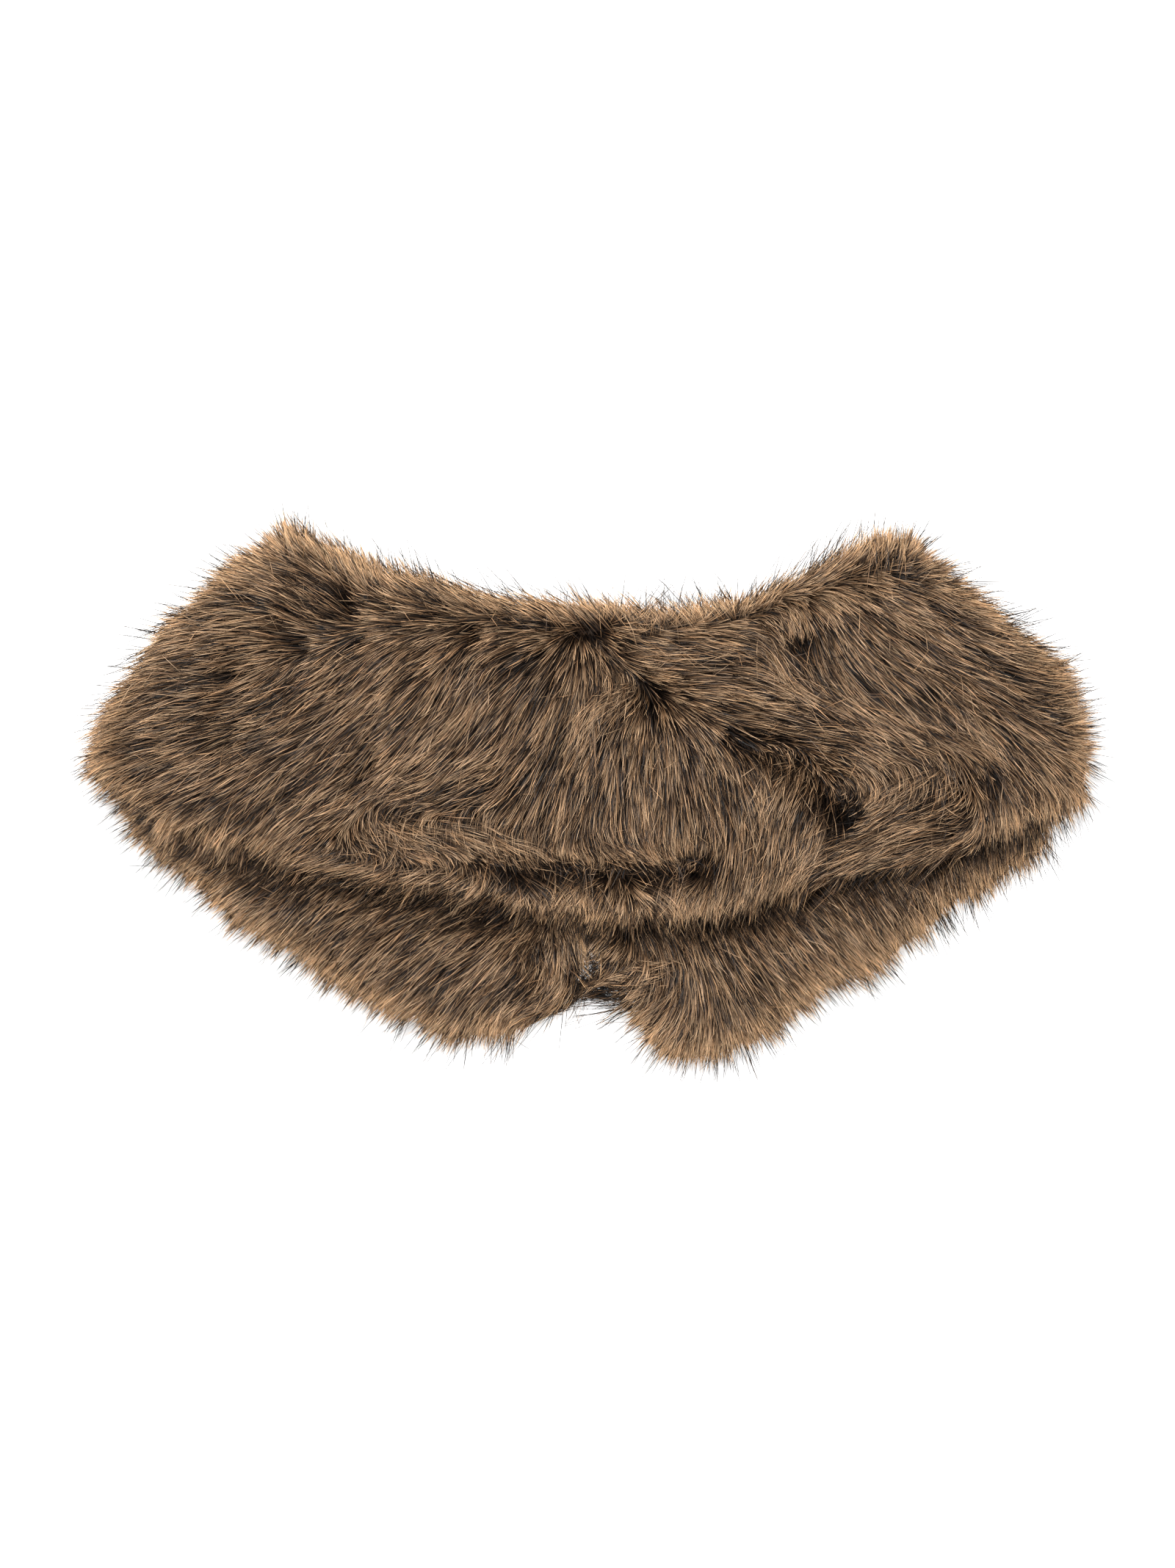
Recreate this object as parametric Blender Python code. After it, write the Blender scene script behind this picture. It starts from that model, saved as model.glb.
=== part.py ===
"""A fur collar wrap, laid flat.

The wrap is one long curved band of deep pile. Its middle stretch, the back, lies on top. Both ends
are folded under it at the sides and meet beneath it in the middle, where their rounded corners
leave a small notch. Each stretch is a closed solid that is as thick as its fur.

The scene is in metres. The sizes below are in millimetres: x runs to the right, y towards the
neckline and z up from the surface that the wrap lies on.
"""

import math
from collections import namedtuple

import bmesh
import bpy
import numpy as np

MM = 0.001

# Heights, in millimetres above the surface.
UNDER_TOP = 18.0
SEAM_GAP = 0.3
BACK_EDGE = 27.0
FRONT_EDGE = 9.0
FOLD_EDGE = 20.0

# How the pile rounds off at an edge: the radius over it, the radius below it and the part of the
# full height that is left at the very edge.
OVER_RADIUS = 30.0
BELOW_RADIUS = 9.0
EDGE_SHARE = 0.12

# At each side the back turns down to the surface, round the folded end of the front. The turn
# takes this share of the first and last steps between sections, and its inner wall the next bit.
FOLD_STATION = 0.16
FOLD_WALL = 0.03
FOLD_ROUND_STATIONS = (0.0, 0.02, 0.06, 0.11)

# The hem of the back presses on the fronts, which swell again over this distance beyond it.
SWELL_LENGTH = 26.0

# The fur lies away from this point behind the neck. Its locks are lumps in rows that fan out from
# there, and they widen slowly with their distance from it.
FUR_POLE_X = 8.0
FUR_POLE_Y = 182.0
LOCK_SPREAD = 0.95
LOCK_LENGTH = 27.0
LOCK_HEIGHT = 3.8
HEM_TUFT = 5.0
NECK_TUFT = 2.0
TUFT_DEPTH = 22.0

# Counts of points along a stretch and across it.
BACK_STATIONS = 84
BACK_ACROSS = 34
CROWDING = 0.35
FRONT_STATIONS = 44
FRONT_SHOWN_FROM = 0.62
FRONT_SHOWN_POINTS = 15
FRONT_HIDDEN_SHARES = (0.0, 0.012, 0.035, 0.36)
UNDER_RIM = (0.0, 0.015, 0.045)
UNDER_POINTS = 8

# A section runs from the neckline to the hem. The bow moves its middle to the left, nearer to the
# hem with more skew, and the crown is the top of the pile there.
BOW_SKEW = 1.25
Section = namedtuple("Section", "neck_x neck_y hem_x hem_y bow crown skew", defaults=(BOW_SKEW,))

# From the left fold to the right fold.
BACK = (
    Section(-186, 161, -309, 6, 21, 42),
    Section(-150, 142, -266, -33, 8, 46),
    Section(-110, 131, -201, -49, 3, 48),
    Section(-71, 119, -138, -62, 0, 49),
    Section(-30, 112, -74, -74, 0, 49),
    Section(12, 109, -10, -86, 0, 48),
    Section(54, 109, 54, -88, 0, 48),
    Section(95, 115, 118, -74, 0, 49),
    Section(131, 130, 179, -55, -3, 49),
    Section(168, 149, 248, -37, -16, 47),
    Section(204, 151, 307, -13, -34, 42, 1.5),
)

# From the middle notch to the left fold.
LEFT_FRONT = (
    Section(0, 99, 0, -121, 0, 24),
    Section(-20, 101, -14, -142, 0, 25),
    Section(-45, 105, -48, -154, 0, 26),
    Section(-75, 111, -92, -158, 0, 26),
    Section(-105, 121, -144, -135, 0, 26),
    Section(-133, 128, -196, -102, 0, 25),
    Section(-157, 136, -243, -68, 2, 24),
    Section(-171, 142, -278, -41, 7, 22),
    Section(-176, 143, -296, -11, 15, 20),
)

# From the middle notch to the right fold.
RIGHT_FRONT = (
    Section(3, 99, 3, -120, 0, 24),
    Section(24, 99, 22, -146, 0, 25),
    Section(48, 100, 62, -175, 0, 26),
    Section(78, 104, 110, -159, 0, 26),
    Section(105, 111, 158, -130, 0, 26),
    Section(133, 122, 204, -99, 0, 25),
    Section(158, 135, 246, -67, -7, 24),
    Section(178, 141, 278, -44, -18, 22),
    Section(190, 138, 291, -25, -26, 20),
)

# A trough pressed into the top of the pile, from one point to another.
Crease = namedtuple("Crease", "from_x from_y to_x to_y width depth")

BACK_CREASES = (
    # Above the roll along the hem.
    Crease(-150, -27, -74, -36, 9, 6),
    Crease(-74, -36, -8, -57, 10, 9),
    Crease(-8, -57, 74, -50, 11, 9),
    Crease(74, -50, 128, -36, 9, 4),
    # The valley that runs from the middle of the neckline down to the right.
    Crease(8, 86, 40, 54, 9, 8),
    Crease(40, 54, 92, 36, 10, 7),
    Crease(92, 36, 150, -2, 11, 9),
    Crease(150, -2, 158, -14, 12, 10),
    # The hollow at the far right.
    Crease(232, 8, 244, -6, 13, 8),
    # Below the roll along the neckline.
    Crease(-176, 86, -142, 112, 10, 7),
    Crease(-142, 112, -62, 100, 8, 5),
    Crease(-62, 100, -2, 92, 9, 7),
    Crease(56, 94, 118, 108, 9, 6),
    Crease(118, 108, 128, 86, 9, 7),
    Crease(118, 108, 178, 130, 9, 5),
)

FRONT_CREASES = (
    Crease(-30, -96, -26, -116, 7, 6),
    Crease(-120, -92, -132, -104, 8, 4),
    Crease(96, -112, 104, -128, 8, 5),
    Crease(190, -74, 204, -84, 8, 4),
)

Stretch = namedtuple("Stretch", "name sections base edge creases colour")

STRETCHES = (
    Stretch("back_panel", BACK, UNDER_TOP + SEAM_GAP, BACK_EDGE, BACK_CREASES, (0.17, 0.10, 0.065)),
    Stretch("left_front", LEFT_FRONT, 0.0, FRONT_EDGE, FRONT_CREASES, (0.15, 0.09, 0.06)),
    Stretch("right_front", RIGHT_FRONT, 0.0, FRONT_EDGE, FRONT_CREASES, (0.16, 0.095, 0.06)),
)


def clear_scene():
    for obj in list(bpy.data.objects):
        bpy.data.objects.remove(obj, do_unlink=True)


def smooth_step(value):
    value = np.clip(value, 0.0, 1.0)
    return value * value * (3 - 2 * value)


def quarter_round(distance, radius):
    """0 at an edge, then up a quarter circle to 1 at the radius."""
    inward = np.clip(distance / radius, 0.0, 1.0)
    return np.sqrt(1 - (1 - inward) ** 2)


def through_rows(rows, t):
    """The rows of a table as a smooth curve, read at t, which is 0 at the first row."""
    table = np.array(rows, float)
    padded = np.vstack((2 * table[0] - table[1], table, 2 * table[-1] - table[-2]))
    row = np.clip(np.floor(t).astype(int), 0, len(table) - 2)
    f = (t - row)[:, None]
    a, b, c, d = (padded[row + k] for k in range(4))
    return b + 0.5 * f * (c - a + f * (2 * a - 5 * b + 4 * c - d + f * (3 * (b - c) + d - a)))


def spread(count, last, crowding):
    """Values from 0 to last that lie closer together near both ends."""
    even = np.linspace(0.0, 1.0, count)
    return last * (even - crowding * np.sin(2 * math.pi * even) / (2 * math.pi))


def scatter(column, row):
    """A number from -1 to 1 for a cell, which looks random and never changes."""
    value = np.sin(column * 12.9898 + row * 78.233 + 4.1) * 437.585
    return 2 * (value - np.floor(value)) - 1


def locks(x, y):
    """Lumps from -1 to 1, longer along the lie of the fur than across it."""
    away = np.hypot(x - FUR_POLE_X, y - FUR_POLE_Y)
    across = np.arctan2(x - FUR_POLE_X, FUR_POLE_Y - y) * np.sqrt(away) * LOCK_SPREAD
    along = away / LOCK_LENGTH
    column, row = np.floor(across), np.floor(along)
    f, g = smooth_step(across - column), smooth_step(along - row)
    near = scatter(column, row) * (1 - f) + scatter(column + 1, row) * f
    far = scatter(column, row + 1) * (1 - f) + scatter(column + 1, row + 1) * f
    return near * (1 - g) + far * g


def crease_depth(creases, x, y):
    """How far the troughs press the pile down at each point: the deepest one counts."""
    deepest = np.zeros_like(x)
    for crease in creases:
        run_x = crease.to_x - crease.from_x
        run_y = crease.to_y - crease.from_y
        along = (x - crease.from_x) * run_x + (y - crease.from_y) * run_y
        along = np.clip(along / (run_x**2 + run_y**2), 0.0, 1.0)
        apart = np.hypot(x - crease.from_x - along * run_x, y - crease.from_y - along * run_y)
        deepest = np.maximum(deepest, crease.depth * np.exp(-((apart / crease.width) ** 2)))
    return deepest


def back_hem_y(x):
    """The hem of the back above a place on the surface."""
    hem = through_rows(BACK, np.linspace(0, len(BACK) - 1, 120))
    return np.interp(x, hem[:, 2], hem[:, 3])


def plan(sections, t, v):
    """Points seen from above, for stations t along the stretch and shares v across it.

    It also gives each point's distances from the neckline, from the hem and from the nearer end."""
    row = through_rows(sections, t)
    neck, hem = row[:, None, 0:2], row[:, None, 2:4]
    run = hem - neck
    width = np.linalg.norm(run, axis=2, keepdims=True)
    left = np.stack((run[..., 1], -run[..., 0]), axis=2) / width
    v = v[None, :, None]
    spot = neck + v * run + row[:, None, 4:5] * np.sin(math.pi * v ** row[:, None, 6:7]) * left
    at_hem = HEM_TUFT * smooth_step(1 - (1 - v) * width / TUFT_DEPTH)
    at_neck = NECK_TUFT * smooth_step(1 - v * width / TUFT_DEPTH)
    tuft = locks(spot[..., 0:1], spot[..., 1:2]) * smooth_step(np.minimum(t, t[-1] - t))[:, None, None]
    spot = spot + tuft * (at_hem - at_neck) * run / width
    pace = np.linalg.norm(np.gradient(spot, axis=0), axis=2)
    travelled = np.cumsum(pace, axis=0) - pace[0]
    to_end = np.minimum(travelled, travelled[-1] - travelled)
    return spot[..., 0], spot[..., 1], (v * width)[..., 0], ((1 - v) * width)[..., 0], to_end, row[:, 5:6]


def rounded(from_neck, from_hem, from_end, radius):
    share = quarter_round(from_neck, radius) * quarter_round(from_hem, radius)
    return EDGE_SHARE + (1 - EDGE_SHARE) * share * quarter_round(from_end, radius)


def top_of(stretch, t, v):
    x, y, from_neck, from_hem, from_end, crown = plan(stretch.sections, t, v)
    over = rounded(from_neck, from_hem, from_end, OVER_RADIUS)
    relief = LOCK_HEIGHT * locks(x, y) - crease_depth(stretch.creases, x, y)
    if stretch.base > 0:
        height = crown + relief
    else:
        beyond_hem = back_hem_y(x) - y
        height = UNDER_TOP + (crown - UNDER_TOP + relief) * smooth_step(beyond_hem / SWELL_LENGTH)
        over = np.where(beyond_hem > 0, over, rounded(from_neck, from_hem, from_end, BELOW_RADIUS))
    edge = edge_height(stretch, t)
    return x, y, edge + (height - edge) * over


def underside_of(stretch, t, v):
    x, y, from_neck, from_hem, from_end, _ = plan(stretch.sections, t, v)
    under = rounded(from_neck, from_hem, from_end, BELOW_RADIUS)
    from_fold = np.minimum(t, t[-1] - t)[:, None]
    inside = np.clip((from_fold - FOLD_STATION) / FOLD_WALL, 0.0, 1.0)
    edge = edge_height(stretch, t)
    return x, y, edge - (edge - stretch.base * inside) * under


def edge_height(stretch, t):
    """How high a stretch is widest: lower at the folds of the back, where it turns down."""
    if stretch.base == 0:
        return stretch.edge
    from_fold = np.minimum(t, t[-1] - t)[:, None]
    return FOLD_EDGE + (stretch.edge - FOLD_EDGE) * smooth_step(2 * from_fold)


def close_end(mesh, top, under, v_top, v_under):
    """Fills the narrow wall at an end, between a row of points on top and a row below it."""
    i = j = 0
    while i < len(top) - 1 or j < len(under) - 1:
        on_top = j == len(under) - 1 or (i < len(top) - 1 and v_top[i + 1] <= v_under[j + 1])
        if on_top:
            mesh.faces.new((top[i], top[i + 1], under[j]))
            i += 1
        else:
            mesh.faces.new((top[i], under[j + 1], under[j]))
            j += 1


def stretch_mesh(stretch):
    """A closed mesh in millimetres, from rings that run over the top and back along the underside."""
    last = len(stretch.sections) - 1
    if stretch.base > 0:
        fold = np.array((*FOLD_ROUND_STATIONS, FOLD_STATION, FOLD_STATION + FOLD_WALL))
        start = fold[-1] + FOLD_WALL
        middle = start + spread(BACK_STATIONS, last - 2 * start, CROWDING)
        t = np.concatenate((fold, middle, last - fold[::-1]))
        v_top = spread(BACK_ACROSS, 1.0, CROWDING)
    else:
        t = spread(FRONT_STATIONS, last, CROWDING)
        shown = np.linspace(FRONT_SHOWN_FROM, 1.0, FRONT_SHOWN_POINTS)
        v_top = np.concatenate((FRONT_HIDDEN_SHARES, shown))
    rim = np.array(UNDER_RIM)
    v_under = np.concatenate((rim, np.linspace(rim[-1], 1 - rim[-1], UNDER_POINTS)[1:-1], 1 - rim[::-1]))
    mesh = bmesh.new()
    top = [[mesh.verts.new(p) for p in zip(*ring)] for ring in zip(*top_of(stretch, t, v_top))]
    under = [[mesh.verts.new(p) for p in zip(*ring)] for ring in zip(*underside_of(stretch, t, v_under))]
    rings = [over + below[::-1] for over, below in zip(top, under)]
    for ring, following in zip(rings, rings[1:]):
        for k in range(len(ring)):
            nxt = (k + 1) % len(ring)
            mesh.faces.new((ring[k], ring[nxt], following[nxt], following[k]))
    close_end(mesh, top[0], under[0], v_top, v_under)
    close_end(mesh, top[-1], under[-1], v_top, v_under)
    bmesh.ops.recalc_face_normals(mesh, faces=mesh.faces)
    return mesh


def fur_material(name, colour):
    material = bpy.data.materials.new(name + "_fur")
    material.use_nodes = True
    shader = material.node_tree.nodes["Principled BSDF"]
    shader.inputs["Base Color"].default_value = (*colour, 1.0)
    shader.inputs["Roughness"].default_value = 0.7
    shader.inputs["Metallic"].default_value = 0.0
    shader.inputs["Sheen Weight"].default_value = 0.3
    return material


def place(stretch, mesh, centre):
    """Makes the object of a stretch, in metres, with the whole wrap centred on the origin."""
    for vert in mesh.verts:
        vert.co = ((vert.co.x - centre[0]) * MM, (vert.co.y - centre[1]) * MM, vert.co.z * MM)
    data = bpy.data.meshes.new(stretch.name)
    mesh.to_mesh(data)
    mesh.free()
    obj = bpy.data.objects.new(stretch.name, data)
    bpy.context.scene.collection.objects.link(obj)
    data.materials.append(fur_material(stretch.name, stretch.colour))
    data.shade_smooth()


def build():
    clear_scene()
    meshes = [stretch_mesh(stretch) for stretch in STRETCHES]
    points = np.array([vert.co[:] for mesh in meshes for vert in mesh.verts])
    centre = (points.min(axis=0) + points.max(axis=0)) / 2
    for stretch, mesh in zip(STRETCHES, meshes):
        place(stretch, mesh, centre)


build()
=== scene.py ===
import math
from collections import namedtuple

import bmesh
import bpy
import numpy as np
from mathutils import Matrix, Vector
from mathutils.bvhtree import BVHTree


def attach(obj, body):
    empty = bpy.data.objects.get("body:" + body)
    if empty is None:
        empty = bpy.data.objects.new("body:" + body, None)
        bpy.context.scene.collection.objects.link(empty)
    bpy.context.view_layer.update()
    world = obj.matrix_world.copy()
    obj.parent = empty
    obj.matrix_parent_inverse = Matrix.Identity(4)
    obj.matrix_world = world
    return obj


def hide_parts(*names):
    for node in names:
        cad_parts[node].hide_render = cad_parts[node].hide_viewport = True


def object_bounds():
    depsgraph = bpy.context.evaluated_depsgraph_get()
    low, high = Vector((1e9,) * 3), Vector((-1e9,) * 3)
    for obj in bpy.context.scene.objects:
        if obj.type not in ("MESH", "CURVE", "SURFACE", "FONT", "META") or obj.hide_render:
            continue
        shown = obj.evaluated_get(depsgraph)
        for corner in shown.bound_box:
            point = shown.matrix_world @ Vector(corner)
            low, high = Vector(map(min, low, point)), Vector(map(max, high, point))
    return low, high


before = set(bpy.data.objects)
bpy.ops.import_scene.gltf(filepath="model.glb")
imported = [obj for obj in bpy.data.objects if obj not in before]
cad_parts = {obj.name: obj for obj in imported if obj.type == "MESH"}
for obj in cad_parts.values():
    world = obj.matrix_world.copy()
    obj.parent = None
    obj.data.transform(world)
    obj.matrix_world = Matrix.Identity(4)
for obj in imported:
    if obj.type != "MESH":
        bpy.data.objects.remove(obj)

cad_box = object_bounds()

# The looks of a fur collar wrap that lies flat. Each stretch of cloth is a thin shell inside its
# solid, and rows of tapering hairs grow from it, lie along the comb directions below and end at
# the solid's surface.

MM = 0.001

# The photograph: its size in pixels, the size of a pixel on the wrap and the pixel that lies on
# the frame's origin.
PHOTO_WIDTH = 1600
PHOTO_HEIGHT = 2136
PIXEL = 0.45 * MM
ORIGIN_PX_X = 800.8
ORIGIN_PX_Y = 1082.3
CAMERA_LENS = 85.0
CAMERA_SENSOR = 36.0
SHARP_PLANE = 0.03

# The maps that the hairs are placed with.
MAP_STEP = 2.0 * MM
MAP_MARGIN = 40 * MM
DROOP = 0.75
FLOOR_CLEARANCE = 0.5 * MM
RIM_WIDTH = 22 * MM
LEAST_TOP = 2 * MM
OUTLINE_BLUR = 3
TOP_BLUR = 1
EVEN_BLUR = 20
WIDE_BLUR = 60
PARTING_BLUR = 3
HOLLOW_SHARE = 0.6
RELIEF_SHARE = 0.8

# Where the pile points, from the photograph: a place in pixels, the angle that the tips
# point to, counted from the right and up, and how far that holds, in millimetres. Further off a
# comb still counts a little.
Comb = namedtuple("Comb", "px_x px_y angle reach")
COMB_FAR_WEIGHT = 1e-4
BACK_COMBS = (
    # The neckline roll, from the left peak to the right one.
    (300, 770, 162, 14), (345, 738, 145, 13), (395, 725, 108, 12), (435, 745, 122, 12),
    (470, 765, 118, 10), (510, 785, 97, 10), (550, 800, 130, 11), (610, 805, 148, 12),
    (690, 818, 152, 12), (750, 812, 143, 12), (830, 826, 146, 12), (900, 828, 140, 12),
    (970, 822, 130, 12), (1030, 812, 60, 10), (1080, 790, 40, 12), (1140, 760, 42, 12),
    (1185, 735, 84, 11), (1225, 730, 78, 12), (1265, 748, 30, 11), (1300, 778, -4, 12),
    # The left end and the folds under the left peak.
    (350, 785, 166, 13), (400, 790, 158, 12), (455, 795, 148, 10), (480, 830, 130, 9),
    (430, 832, 152, 10), (440, 862, 158, 10), (380, 862, 172, 12), (250, 800, 188, 13),
    (310, 830, 190, 14), (230, 870, 194, 15), (300, 890, 190, 14), (180, 950, 197, 15),
    (250, 940, 189, 15), (320, 940, 190, 14), (210, 1000, 187, 13), (140, 1000, 196, 14),
    (280, 1010, 198, 15), (130, 1050, 208, 14), (210, 1060, 206, 15), (300, 1060, 204, 15),
    (170, 1110, 218, 13), (250, 1110, 217, 14), (300, 1140, 236, 14), (360, 1130, 232, 14),
    (230, 1160, 232, 12),
    # The left half.
    (540, 832, 170, 11), (585, 848, 168, 10), (500, 862, 202, 12), (450, 905, 214, 13),
    (390, 940, 212, 14), (380, 1000, 205, 15), (460, 960, 217, 15), (540, 910, 222, 14),
    (590, 880, 214, 12), (640, 910, 258, 12), (680, 870, 200, 12), (600, 960, 230, 14),
    (660, 980, 233, 15), (540, 1000, 226, 15), (470, 1040, 222, 14), (390, 1070, 216, 14),
    (600, 1040, 214, 13), (540, 1070, 202, 12), (650, 1070, 201, 12), (460, 1090, 214, 12),
    (590, 1094, 187, 9), (420, 1130, 226, 13), (700, 1040, 222, 12),
    # Over the hem on the left, where the pile turns to the right.
    (450, 1112, 202, 8), (525, 1118, -16, 10), (580, 1128, -14, 10), (640, 1128, -24, 10),
    (488, 1146, -24, 9), (640, 1158, -28, 10), (560, 1155, -12, 10), (700, 1150, -20, 9),
    (470, 1172, 192, 9), (420, 1180, 206, 11), (370, 1185, 224, 12), (540, 1180, 186, 8),
    (620, 1186, 186, 8), (500, 1198, 194, 10), (560, 1208, 205, 11), (620, 1215, 213, 11),
    (690, 1222, 222, 11), (760, 1250, 238, 11), (740, 1215, -48, 9), (700, 1188, -32, 8),
    (760, 1185, -36, 8), (815, 1186, 214, 7), (880, 1190, -32, 8), (935, 1186, 196, 7),
    # The middle, which falls from the two whorls under the neckline.
    (730, 855, 176, 11), (720, 890, 218, 12), (760, 905, 240, 12), (745, 960, 240, 14),
    (800, 900, 268, 9), (820, 885, -45, 9), (850, 862, -10, 11), (800, 990, 252, 14),
    (740, 1060, 243, 14), (800, 1080, 254, 14), (700, 1110, 236, 10), (780, 1130, 240, 10),
    (845, 958, 204, 9), (860, 1000, 261, 13), (900, 1000, 276, 12), (870, 1080, 268, 15),
    (950, 1060, 280, 15), (935, 985, -48, 10), (1000, 1040, -72, 12), (1010, 1110, 272, 14),
    (1060, 1110, 263, 13), (1070, 1060, 246, 11), (1090, 1140, 256, 12), (930, 1140, 272, 13),
    (800, 1146, -22, 9), (850, 1165, -34, 9), (910, 1172, -25, 9), (990, 1170, 258, 11),
    (1060, 1180, 252, 12), (830, 1240, 252, 11), (890, 1215, -32, 9), (900, 1255, 268, 11),
    (960, 1250, 262, 11), (1010, 1225, 250, 11), (1070, 1230, 254, 11),
    # The ridge that runs to the right between the neckline and the valley.
    (900, 868, -7, 12), (960, 870, -6, 12), (930, 915, -4, 12), (1000, 920, -12, 13),
    (970, 955, -7, 12), (1040, 965, -9, 13), (1100, 975, -14, 12), (1020, 990, -8, 9),
    (1140, 1010, -17, 11), (1190, 1018, -22, 10), (1180, 1055, -75, 9), (1000, 860, -20, 10),
    (1030, 900, -32, 11),
    # The right end.
    (1065, 840, -82, 11), (1110, 840, -72, 11), (1060, 890, -80, 10), (1100, 920, -48, 12),
    (1150, 870, -56, 12), (1170, 815, -40, 12), (1230, 800, -18, 12), (1200, 860, -38, 13),
    (1170, 930, -46, 13), (1160, 980, -30, 11), (1260, 845, -30, 13), (1320, 830, -18, 13),
    (1370, 850, -9, 12), (1250, 910, -40, 14), (1320, 905, -27, 13), (1390, 900, -13, 13),
    (1450, 920, 12, 12), (1230, 970, -42, 12), (1300, 970, -46, 13), (1360, 960, -36, 13),
    (1420, 960, -14, 12), (1470, 970, 14, 12), (1240, 1012, -20, 10), (1310, 1014, -34, 9),
    (1360, 1015, -50, 11), (1420, 1015, -32, 12), (1480, 1010, 2, 12), (1390, 1055, -52, 11),
    (1450, 1060, -60, 12), (1490, 1060, -40, 11), (1340, 1065, -66, 9), (1400, 1110, -80, 12),
    (1450, 1105, -74, 12), (1350, 1130, -84, 11),
    # Under the parting on the right, where the pile runs back to the hollow.
    (1290, 1052, 202, 10), (1240, 1075, 208, 11), (1280, 1095, 200, 11), (1190, 1110, 214, 11),
    (1240, 1125, 198, 11), (1310, 1130, 178, 10), (1170, 1150, 205, 11), (1120, 1180, 212, 10),
    (1230, 1160, 194, 11), (1150, 1200, 205, 11), (1220, 1185, 204, 11), (1300, 1165, 200, 11),
)
FRONT_COMBS = (
    # Under the back panel, along the neckline and round both ends.
    (330, 800, 128, 24), (430, 800, 112, 22), (540, 825, 106, 22), (660, 840, 98, 22),
    (780, 845, 92, 22), (900, 845, 86, 22), (1020, 835, 80, 22), (1130, 800, 72, 22),
    (1240, 800, 52, 22), (1340, 850, 30, 22), (1440, 940, 10, 22), (1470, 1040, -30, 20),
    (240, 860, 160, 24), (150, 980, 184, 22), (140, 1080, 206, 20),
    # The hems that show.
    (230, 1185, 222, 20), (320, 1240, 218, 20), (400, 1280, 222, 18), (480, 1270, 222, 18),
    (470, 1340, 225, 18), (560, 1280, 217, 18), (560, 1345, 221, 18), (650, 1285, 215, 16),
    (650, 1340, 226, 15), (560, 1400, 229, 14), (630, 1395, 238, 12), (680, 1400, 262, 10),
    (715, 1300, 236, 12), (720, 1345, 222, 10), (755, 1310, 256, 10), (778, 1285, 300, 9),
    (786, 1316, 298, 8), (715, 1372, 200, 9), (765, 1358, 192, 8), (814, 1282, 236, 9),
    (830, 1308, 224, 10), (835, 1350, 176, 9), (870, 1330, 205, 11), (880, 1380, 216, 12),
    (920, 1420, 238, 12), (920, 1350, 240, 13), (960, 1430, 260, 12), (970, 1370, 266, 14),
    (900, 1295, -66, 13), (960, 1300, -64, 15), (1010, 1400, -66, 14), (1030, 1320, -54, 16),
    (1080, 1390, -54, 15), (1110, 1300, -48, 18), (1150, 1350, -48, 16), (1190, 1260, -54, 18),
    (1260, 1240, -62, 18), (1330, 1205, -74, 18), (1420, 1150, -80, 18),
)

# Where the pile sinks into a hollow or stands up in a ridge, from the photograph: a place in
# pixels, half its length and width in pixels, the angle of its length, and how deep it is in
# millimetres, below 0 on a ridge.
# The depth also paints the hairs: painted shade over a hollow, painted light over a ridge.
Relief = namedtuple("Relief", "px_x px_y long wide angle depth")
BACK_RELIEFS = (
    (482, 822, 36, 15, -70, 5.0),
    (405, 884, 46, 11, -4, 2.0),
    (645, 868, 30, 18, -60, 4.5),
    (792, 862, 26, 18, -40, 4.0),
    (880, 938, 38, 13, -38, 4.0),
    (1045, 1022, 66, 17, -8, 6.0),
    (1110, 1066, 42, 19, -42, 6.0),
    (1150, 1108, 36, 26, -60, 7.5),
    (1086, 912, 56, 20, -62, 3.5),
    (1026, 852, 24, 16, 0, 3.5),
    (1165, 985, 48, 11, -28, 3.5),
    (1285, 835, 24, 9, -25, 3.0),
    (1345, 902, 28, 9, -20, 3.0),
    (1225, 925, 30, 9, -42, 2.5),
    (1300, 955, 30, 9, -45, 2.5),
    (1375, 1008, 34, 12, -50, 3.5),
    (1435, 1045, 28, 11, -40, 3.5),
    (1330, 1072, 34, 13, -20, 4.5),
    (452, 1026, 26, 10, 48, 3.5),
    (508, 1042, 26, 10, 55, 3.5),
    (320, 1000, 40, 8, 15, 2.5),
    (560, 1104, 80, 7, 2, 1.5),
    (575, 1186, 50, 8, 0, 3.5),
    (670, 1182, 50, 12, -8, 4.0),
    (740, 1186, 60, 15, 0, 7.0),
    (860, 1188, 60, 15, 0, 7.0),
    (935, 1180, 40, 11, 8, 5.0),
    (1120, 1205, 60, 9, 12, 2.5),
    (512, 792, 34, 13, 82, -3.0),
    (850, 962, 28, 16, 20, -2.5),
    (1000, 955, 110, 26, -8, -4.5),
    (1170, 1025, 46, 15, -20, -3.5),
    (430, 845, 46, 13, -28, -2.5),
    (600, 1145, 90, 17, -14, -4.0),
    (830, 1152, 60, 14, -22, -3.0),
    (1250, 1110, 90, 26, 14, -3.0),
    (1030, 1228, 70, 16, 4, -3.0),
    (1250, 1168, 80, 13, 12, -3.0),
    (560, 1196, 80, 12, -8, -2.5),
    (740, 1238, 60, 14, -20, -4.0),
    (880, 1250, 80, 16, 0, -4.0),
    (1085, 850, 40, 20, -80, -2.5),
)
FRONT_RELIEFS = (
    (738, 1300, 50, 13, 80, 5.0),
    (700, 1345, 40, 12, 50, 4.0),
    (885, 1368, 40, 10, -45, 3.0),
    (820, 1312, 40, 14, -10, 3.5),
    (640, 1310, 90, 12, 10, 2.0),
    (560, 1265, 120, 12, 8, 2.5),
    (1130, 1270, 90, 12, -12, 2.5),
    (700, 1378, 40, 10, 12, -2.0),
    (1010, 1375, 50, 15, -70, -2.5),
)
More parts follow.
